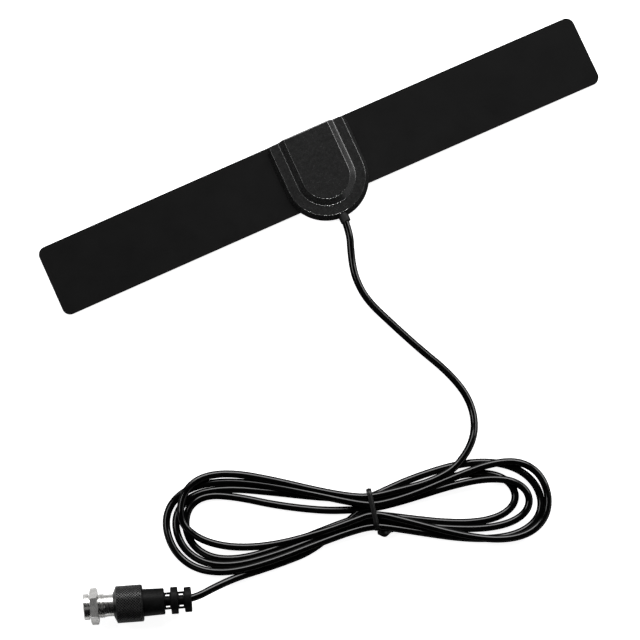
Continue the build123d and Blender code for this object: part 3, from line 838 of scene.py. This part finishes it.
def place_on(material, scale=(1.0, 1.0, 1.0), rotation=(0.0, 0.0, 0.0)):
    """Object coordinates, stretched and turned."""
    tree = material.node_tree
    coords = tree.nodes.new("ShaderNodeTexCoord")
    mapping = tree.nodes.new("ShaderNodeMapping")
    mapping.vector_type = "POINT"
    mapping.inputs["Rotation"].default_value = rotation
    mapping.inputs["Scale"].default_value = scale
    tree.links.new(coords.outputs["Object"], mapping.inputs["Vector"])
    return mapping.outputs["Vector"]


def grain(material, where, scale, detail=4.0):
    """A noise pattern of that scale."""
    noise = material.node_tree.nodes.new("ShaderNodeTexNoise")
    noise.inputs["Scale"].default_value = scale
    noise.inputs["Detail"].default_value = detail
    noise.inputs["Roughness"].default_value = 0.55
    material.node_tree.links.new(where, noise.inputs["Vector"])
    return noise.outputs["Fac"]


def lathe_lines(material, where, scale, distortion=0.6):
    """Fine parallel lines across the first axis."""
    wave = material.node_tree.nodes.new("ShaderNodeTexWave")
    wave.wave_type = "BANDS"
    wave.bands_direction = "X"
    wave.inputs["Scale"].default_value = scale
    wave.inputs["Distortion"].default_value = distortion
    wave.inputs["Detail"].default_value = 3.0
    material.node_tree.links.new(where, wave.inputs["Vector"])
    return wave.outputs["Fac"]


def blend_colours(material, pattern, dark, pale):
    """Base colour that goes from dark to pale with the pattern."""
    ramp = material.node_tree.nodes.new("ShaderNodeValToRGB")
    ramp.color_ramp.elements[0].position = PATTERN_LOW
    ramp.color_ramp.elements[0].color = (*dark, 1.0)
    ramp.color_ramp.elements[1].position = PATTERN_HIGH
    ramp.color_ramp.elements[1].color = (*pale, 1.0)
    material.node_tree.links.new(pattern, ramp.inputs["Fac"])
    shader = material.node_tree.nodes["Principled BSDF"]
    material.node_tree.links.new(ramp.outputs["Color"], shader.inputs["Base Color"])


def vary_roughness(material, pattern, low, high):
    """Roughness that goes from low to high with the pattern."""
    spread = material.node_tree.nodes.new("ShaderNodeMapRange")
    spread.inputs["From Min"].default_value = PATTERN_LOW
    spread.inputs["From Max"].default_value = PATTERN_HIGH
    spread.inputs["To Min"].default_value = low
    spread.inputs["To Max"].default_value = high
    material.node_tree.links.new(pattern, spread.inputs["Value"])
    shader = material.node_tree.nodes["Principled BSDF"]
    material.node_tree.links.new(spread.outputs["Result"], shader.inputs["Roughness"])


def relief(material, pattern, strength, depth):
    """Small relief of that depth in metres."""
    bump = material.node_tree.nodes.new("ShaderNodeBump")
    bump.inputs["Strength"].default_value = strength
    bump.inputs["Distance"].default_value = depth
    material.node_tree.links.new(pattern, bump.inputs["Height"])
    shader = material.node_tree.nodes["Principled BSDF"]
    material.node_tree.links.new(bump.outputs["Normal"], shader.inputs["Normal"])


def grey(level, warm=0.0):
    """A neutral linear colour, a little warm if asked."""
    return (level * (1 + warm), level, level * (1 - warm))


print("finish helpers ready")

# %% [markdown]
# ## Black plastics
#
# Nothing on the object is pure black. The films are matt with a soft mottle where they were
# laminated, the housing has the fine satin grain of a spark-eroded mould, the lead's jacket is
# smooth soft PVC that draws thin bright lines, and the grip and boot are dull. One black for all
# would be quicker, but then the pieces would run together. Rounded edges of the housing are a
# little shinier than its faces and painted paler, a painted highlight, and the lands of the knurl
# are painted paler than its pits, a painted highlight too, so both have finishes of their own.

# %% black finishes
film_black = new_finish("film_black", specular_ior_level=0.06)
film_place = place_on(film_black)
blend_colours(film_black, grain(film_black, film_place, 60.0, 6.0), grey(0.0034), grey(0.0052))
vary_roughness(film_black, grain(film_black, film_place, 240.0, 3.0), 0.48, 0.62)
relief(film_black, grain(film_black, film_place, 2600.0, 2.0), 0.25, 0.00006)

cover_black = new_finish("cover_black", specular_ior_level=0.4)
cover_place = place_on(cover_black)
blend_colours(cover_black, grain(cover_black, cover_place, 220.0, 5.0), grey(0.009), grey(0.013))
vary_roughness(cover_black, grain(cover_black, cover_place, 700.0, 3.0), 0.22, 0.30)
relief(cover_black, grain(cover_black, cover_place, 3000.0, 2.0), 0.08, 0.00004)

# shinier than the faces; its paler colour is a painted highlight that keeps the thin light lines on the
# rounded edges unbroken
shiny_edge_painted_highlight = new_finish("shiny_edge_painted_highlight", specular_ior_level=1.0)
edge_place = place_on(shiny_edge_painted_highlight)
blend_colours(shiny_edge_painted_highlight, grain(shiny_edge_painted_highlight, edge_place, 220.0, 5.0), grey(0.015), grey(0.022))
vary_roughness(shiny_edge_painted_highlight, grain(shiny_edge_painted_highlight, edge_place, 700.0, 3.0), 0.20, 0.28)

gland_black = new_finish("gland_black", specular_ior_level=0.15)
gland_place = place_on(gland_black)
blend_colours(gland_black, grain(gland_black, gland_place, 400.0, 4.0), grey(0.009), grey(0.014))
vary_roughness(gland_black, grain(gland_black, gland_place, 900.0, 3.0), 0.42, 0.55)
relief(gland_black, grain(gland_black, gland_place, 2500.0, 2.0), 0.3, 0.00005)

jacket_black = new_finish("jacket_black", specular_ior_level=0.4)
jacket_place = place_on(jacket_black)
blend_colours(jacket_black, grain(jacket_black, jacket_place, 300.0, 4.0), grey(0.0008), grey(0.002))
vary_roughness(jacket_black, grain(jacket_black, jacket_place, 500.0, 4.0), 0.10, 0.17)
relief(jacket_black, grain(jacket_black, jacket_place, 900.0, 3.0), 0.08, 0.00004)

tie_black = new_finish("tie_black", specular_ior_level=0.3)
tie_place = place_on(tie_black)
blend_colours(tie_black, grain(tie_black, tie_place, 900.0, 4.0), grey(0.003), grey(0.007))
vary_roughness(tie_black, grain(tie_black, tie_place, 1500.0, 4.0), 0.28, 0.42)
relief(tie_black, grain(tie_black, tie_place, 2200.0, 3.0), 0.3, 0.00005)

grip_black = new_finish("grip_black", specular_ior_level=0.15)
grip_place = place_on(grip_black)
blend_colours(grip_black, grain(grip_black, grip_place, 500.0, 5.0), grey(0.003), grey(0.006))
vary_roughness(grip_black, grain(grip_black, grip_place, 1200.0, 3.0), 0.32, 0.42)
relief(grip_black, grain(grip_black, grip_place, 3200.0, 2.0), 0.25, 0.00004)

# paler than the grip's black: a painted highlight on the lands of the knurl
land_painted_highlight = new_finish("land_painted_highlight", specular_ior_level=0.4)
land_place = place_on(land_painted_highlight)
blend_colours(land_painted_highlight, grain(land_painted_highlight, land_place, 500.0, 5.0), grey(0.022), grey(0.045))
vary_roughness(land_painted_highlight, grain(land_painted_highlight, land_place, 1200.0, 3.0), 0.26, 0.38)

boot_black = new_finish("boot_black", specular_ior_level=0.06)
boot_place = place_on(boot_black)
blend_colours(boot_black, grain(boot_black, boot_place, 500.0, 5.0), grey(0.0035), grey(0.007))
vary_roughness(boot_black, grain(boot_black, boot_place, 1200.0, 3.0), 0.38, 0.52)
relief(boot_black, grain(boot_black, boot_place, 3200.0, 2.0), 0.25, 0.00004)
print("black finishes: 9")

# %% [markdown]
# ## Metals
#
# The nut, the post and the barrel are turned brass with a bright nickel plating, so they show
# fine lathe lines round the axis. The lines could be modelled, but they are far finer than the
# thread, so they are a relief in the finish. The Mapping node turns the pattern so that its
# first axis runs along the plug.

# %% metal finishes
AXIS_TURN = (0.0, 0.0, -PLUG_HEADING)


def turned_metal(name, dark, pale, rough_low, rough_high):
    """Metal with fine lathe lines round the plug's axis and faint handling marks."""
    material = new_finish(name, metallic=1.0)
    along = place_on(material, rotation=AXIS_TURN)
    blend_colours(material, grain(material, along, 500.0, 5.0), dark, pale)
    streaks = place_on(material, (900.0, 120.0, 120.0), AXIS_TURN)
    vary_roughness(material, grain(material, streaks, 1.0), rough_low, rough_high)
    relief(material, lathe_lines(material, along, 1800.0), 0.12, 0.00003)
    return material


nickel = turned_metal("nickel_plate", (0.50, 0.495, 0.485), (0.68, 0.675, 0.66), 0.20, 0.32)
pin_metal = turned_metal("pin_copper", (0.55, 0.30, 0.17), (0.72, 0.42, 0.26), 0.2, 0.34)
print("metals: 2")

# %% [markdown]
# ## Finishes inside the housing and the strip
#
# These pieces are sealed in, but they are real pieces and can be seen if the part is taken apart,
# so each has a finish of its own: rolled aluminium foil, green board with a glass weave, tinned
# contacts, sintered ferrite, enamelled copper wire, foamed polythene and solder.

# %% inner finishes
foil_silver = new_finish("foil_silver", metallic=1.0)
foil_place = place_on(foil_silver, (12.0, 900.0, 900.0))
blend_colours(foil_silver, grain(foil_silver, foil_place, 1.0, 5.0), grey(0.62), grey(0.78))
vary_roughness(foil_silver, grain(foil_silver, foil_place, 2.0, 4.0), 0.22, 0.42)
relief(foil_silver, grain(foil_silver, foil_place, 1.5, 3.0), 0.3, 0.00003)

board_green = new_finish("board_green", specular_ior_level=0.5)
board_place = place_on(board_green)
board_mottle = grain(board_green, board_place, 900.0, 3.0)
blend_colours(board_green, board_mottle, (0.012, 0.075, 0.028), (0.03, 0.13, 0.05))
vary_roughness(board_green, grain(board_green, board_place, 600.0, 3.0), 0.25, 0.4)
relief(board_green, lathe_lines(board_green, board_place, 700.0, 1.5), 0.25, 0.00003)

contact_tin = new_finish("contact_tin", metallic=1.0)
contact_place = place_on(contact_tin)
contact_mottle = grain(contact_tin, contact_place, 1200.0, 4.0)
blend_colours(contact_tin, contact_mottle, grey(0.5, 0.05), grey(0.7, 0.05))
vary_roughness(contact_tin, grain(contact_tin, contact_place, 1500.0, 4.0), 0.3, 0.5)
relief(contact_tin, grain(contact_tin, contact_place, 2500.0, 3.0), 0.3, 0.00003)

ferrite_grey = new_finish("ferrite_grey", specular_ior_level=0.3)
ferrite_place = place_on(ferrite_grey)
blend_colours(ferrite_grey, grain(ferrite_grey, ferrite_place, 3500.0, 4.0), grey(0.012), grey(0.05))
vary_roughness(ferrite_grey, grain(ferrite_grey, ferrite_place, 1500.0, 4.0), 0.6, 0.85)
relief(ferrite_grey, grain(ferrite_grey, ferrite_place, 4000.0, 4.0), 0.6, 0.00006)

copper_wire = new_finish("copper_wire", metallic=1.0)
copper_place = place_on(copper_wire)
copper_mottle = grain(copper_wire, copper_place, 900.0, 4.0)
blend_colours(copper_wire, copper_mottle, (0.42, 0.14, 0.05), (0.66, 0.28, 0.12))
vary_roughness(copper_wire, grain(copper_wire, copper_place, 1500.0, 3.0), 0.2, 0.38)
relief(copper_wire, lathe_lines(copper_wire, copper_place, 1500.0), 0.3, 0.00003)

foam_white = new_finish("foam_white", specular_ior_level=0.3)
foam_place = place_on(foam_white)
blend_colours(foam_white, grain(foam_white, foam_place, 2500.0, 4.0), grey(0.68, 0.02), grey(0.82, 0.01))
vary_roughness(foam_white, grain(foam_white, foam_place, 1800.0, 3.0), 0.5, 0.7)
relief(foam_white, grain(foam_white, foam_place, 4000.0, 3.0), 0.5, 0.00005)

solder_grey = new_finish("solder_grey", metallic=1.0)
solder_place = place_on(solder_grey)
blend_colours(solder_grey, grain(solder_grey, solder_place, 1500.0, 4.0), grey(0.45), grey(0.68))
vary_roughness(solder_grey, grain(solder_grey, solder_place, 2000.0, 4.0), 0.25, 0.5)
relief(solder_grey, grain(solder_grey, solder_place, 1800.0, 3.0), 0.5, 0.00006)
print("inner finishes: 7")

# %% [markdown]
# ## Dressing every piece
#
# Each solid keeps its shape and only changes its material slot. The slots could be filled one by
# one, but a table of finishes shows at a glance what shares a finish. The pieces made above get
# theirs the same way. On the front cover, faces that tilt a little but aren't walls are its
# rounded edges, and they get the shinier finish with a painted highlight.

# %% put the finishes on
EDGE_LEAST_TILT = radians(5)
EDGE_MOST_TILT = radians(43)

finishes = {
    film_black: ["back_film", "front_film"],
    cover_black: ["front_cover", "rear_cover"],
    gland_black: ["cable_gland"],
    foil_silver: ["left_foil", "right_foil"],
    board_green: ["matching_board"],
    contact_tin: ["left_contact", "right_contact"],
    ferrite_grey: ["balun_core"],
    copper_wire: ["balun_winding", "coax_conductor", "coax_braid"],
    foam_white: ["coax_dielectric", "pin_insulator"],
    solder_grey: ["solder_joints"],
    nickel: ["coupling_nut", "plug_post", "plug_barrel"],
    pin_metal: ["centre_pin"],
    grip_black: ["grip_ring"],
    boot_black: ["plug_boot"],
    jacket_black: ["cable_lead", "cable_tail", "cable_hank"],
    tie_black: ["cable_tie"],
}
for finish, nodes in finishes.items():
    for node in nodes:
        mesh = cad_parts[node].data
        mesh.materials.clear()
        mesh.materials.append(finish)
cover_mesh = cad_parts["front_cover"].data
cover_mesh.materials.append(shiny_edge_painted_highlight)
# the cover's rounded edges take the second slot: the shinier finish, painted paler as a painted
# highlight
for face in cover_mesh.polygons:
    is_edge = cos(EDGE_MOST_TILT) < face.normal.z < cos(EDGE_LEAST_TILT)
    face.material_index = 1 if is_edge else 0
piece_finishes = [
    (cable, jacket_black),
    (barrel, nickel),
    (nut_thread, nickel),
    (grip, grip_black),
    (tie, tie_black),
    (knot, tie_black),
]
for piece, finish in piece_finishes:
    piece.data.materials.append(finish)
# the paler finish of the lands, a painted highlight
grip.data.materials.append(land_painted_highlight)
print("dressed nodes:", sum(len(n) for n in finishes.values()), "of", len(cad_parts))

# %% [markdown]
# ## The pieces on the lead
#
# The pieces that sit on the lead are gathered in a list and counted.

# %% the pieces on the lead
on_the_lead = [barrel, nut_thread, grip, tie, knot]
on_the_lead += [
    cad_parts[n] for n in ("coupling_nut", "plug_post", "pin_insulator", "centre_pin", "plug_boot")
]
print("pieces on the lead:", len(on_the_lead))

# %% end
print("end of the script")
